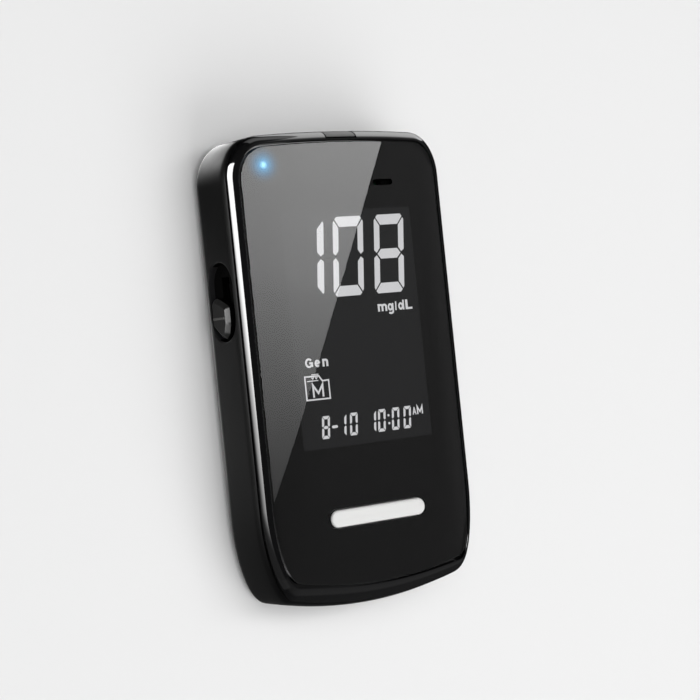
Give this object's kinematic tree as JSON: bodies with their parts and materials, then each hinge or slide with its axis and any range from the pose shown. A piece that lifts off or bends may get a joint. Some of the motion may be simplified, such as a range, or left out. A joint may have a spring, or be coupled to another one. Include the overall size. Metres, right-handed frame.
{
  "type": "blood glucose meter",
  "caption": "Handheld talking blood glucose meter with a smoked full-face lens, a white bar key, a side slider that ejects the test strip, and a speaker and cell door in its back.",
  "frame": {"origin": "centre of the bounding box's underside, on the plane that the meter rests on with its display up", "axes": "+X to the meter's right, +Y towards the end that takes the test strip, +Z out of the display"},
  "size_m": [0.0551, 0.101, 0.0185],
  "materials": {
    "rear_cover": "satin moulded, fine grain",
    "front_cover": "glossy moulded",
    "front_lens": "smoked, polished",
    "strip_port_trim": "satin moulded, fine grain",
    "cell_door": "satin moulded, fine grain",
    "main_key": "satin moulded",
    "ejector_knob": "satin moulded, fine grain",
    "ejector_carriage": "moulded",
    "ejector_return_spring": "plated",
    "set_key": "satin moulded",
    "display_glass": "polished",
    "display_frame": "moulded",
    "backlight_guide": "translucent",
    "display_contact_strip_lower": "plain",
    "display_contact_strip_upper": "plain",
    "main_board": "solder mask",
    "main_key_switch": "moulded",
    "set_switch": "moulded",
    "processor_chip": "moulded",
    "voice_chip": "moulded",
    "memory_chip": "moulded",
    "clock_crystal": "plated",
    "power_capacitor": "printed sleeve, plain",
    "status_lamp": "translucent",
    "lamp_light_pipe": "translucent",
    "strip_socket": "moulded",
    "strip_contact_1": "gold plated",
    "strip_contact_2": "gold plated",
    "strip_contact_3": "gold plated",
    "speaker": "moulded",
    "speaker_gasket": "plain",
    "speaker_contact_spring_left": "gold plated",
    "speaker_contact_spring_right": "gold plated",
    "cell_left": "printed sleeve, plain",
    "cell_right": "printed sleeve, plain",
    "contact_spring_left": "plated",
    "contact_spring_right": "plated",
    "spring_contact_plate_left": "plated",
    "spring_contact_plate_right": "plated",
    "flat_contact_left": "gold plated",
    "flat_contact_right": "gold plated",
    "case_screw_top_left": "zinc plated",
    "case_screw_top_right": "zinc plated",
    "case_screw_bottom_left": "zinc plated",
    "case_screw_bottom_right": "zinc plated"
  },
  "bodies": {
    "meter": {"rear_cover": "rear_cover", "front_cover": "front_cover", "front_lens": "front_lens", "strip_port_trim": "strip_port_trim", "ejector_return_spring": "ejector_return_spring", "display_glass": "display_glass", "display_frame": "display_frame", "backlight_guide": "backlight_guide", "display_contact_strip_lower": "display_contact_strip_lower", "display_contact_strip_upper": "display_contact_strip_upper", "main_board": "main_board", "main_key_switch": "main_key_switch", "set_switch": "set_switch", "processor_chip": "processor_chip", "voice_chip": "voice_chip", "memory_chip": "memory_chip", "clock_crystal": "clock_crystal", "power_capacitor": "power_capacitor", "status_lamp": "status_lamp", "lamp_light_pipe": "lamp_light_pipe", "strip_socket": "strip_socket", "strip_contact_1": "strip_contact_1", "strip_contact_2": "strip_contact_2", "strip_contact_3": "strip_contact_3", "speaker": "speaker", "speaker_gasket": "speaker_gasket", "speaker_contact_spring_left": "speaker_contact_spring_left", "speaker_contact_spring_right": "speaker_contact_spring_right", "cell_left": "cell_left", "cell_right": "cell_right", "contact_spring_left": "contact_spring_left", "contact_spring_right": "contact_spring_right", "spring_contact_plate_left": "spring_contact_plate_left", "spring_contact_plate_right": "spring_contact_plate_right", "flat_contact_left": "flat_contact_left", "flat_contact_right": "flat_contact_right", "case_screw_top_left": "case_screw_top_left", "case_screw_top_right": "case_screw_top_right", "case_screw_bottom_left": "case_screw_bottom_left", "case_screw_bottom_right": "case_screw_bottom_right"},
    "main_key": {"main_key": "main_key"},
    "ejector": {"ejector_knob": "ejector_knob", "ejector_carriage": "ejector_carriage"},
    "cell_door": {"cell_door": "cell_door"},
    "set_key": {"set_key": "set_key"}
  },
  "joints": [
    {"name": "main_key_press", "type": "slide", "parent": "meter", "child": "main_key", "axis": [0, 0, -1], "range_m": [0, 0.0006], "stiffness_N_per_m": 800, "springref_m": -0.0004},
    {"name": "strip_ejector_slide", "type": "slide", "parent": "meter", "child": "ejector", "axis": [0, 1, 0], "range_m": [0, 0.0065], "stiffness_N_per_m": 120, "springref_m": -0.003, "deforming": ["ejector_return_spring"]},
    {"name": "cell_door_hinge", "type": "hinge", "parent": "meter", "child": "cell_door", "pos_m": [0, -0.0441, 0], "axis": [-1, 0, 0], "range_deg": [0, 60]},
    {"name": "set_key_press", "type": "slide", "parent": "meter", "child": "set_key", "axis": [0, 0, 1], "range_m": [0, 0.0004], "stiffness_N_per_m": 800, "springref_m": -0.0004}
  ]
}
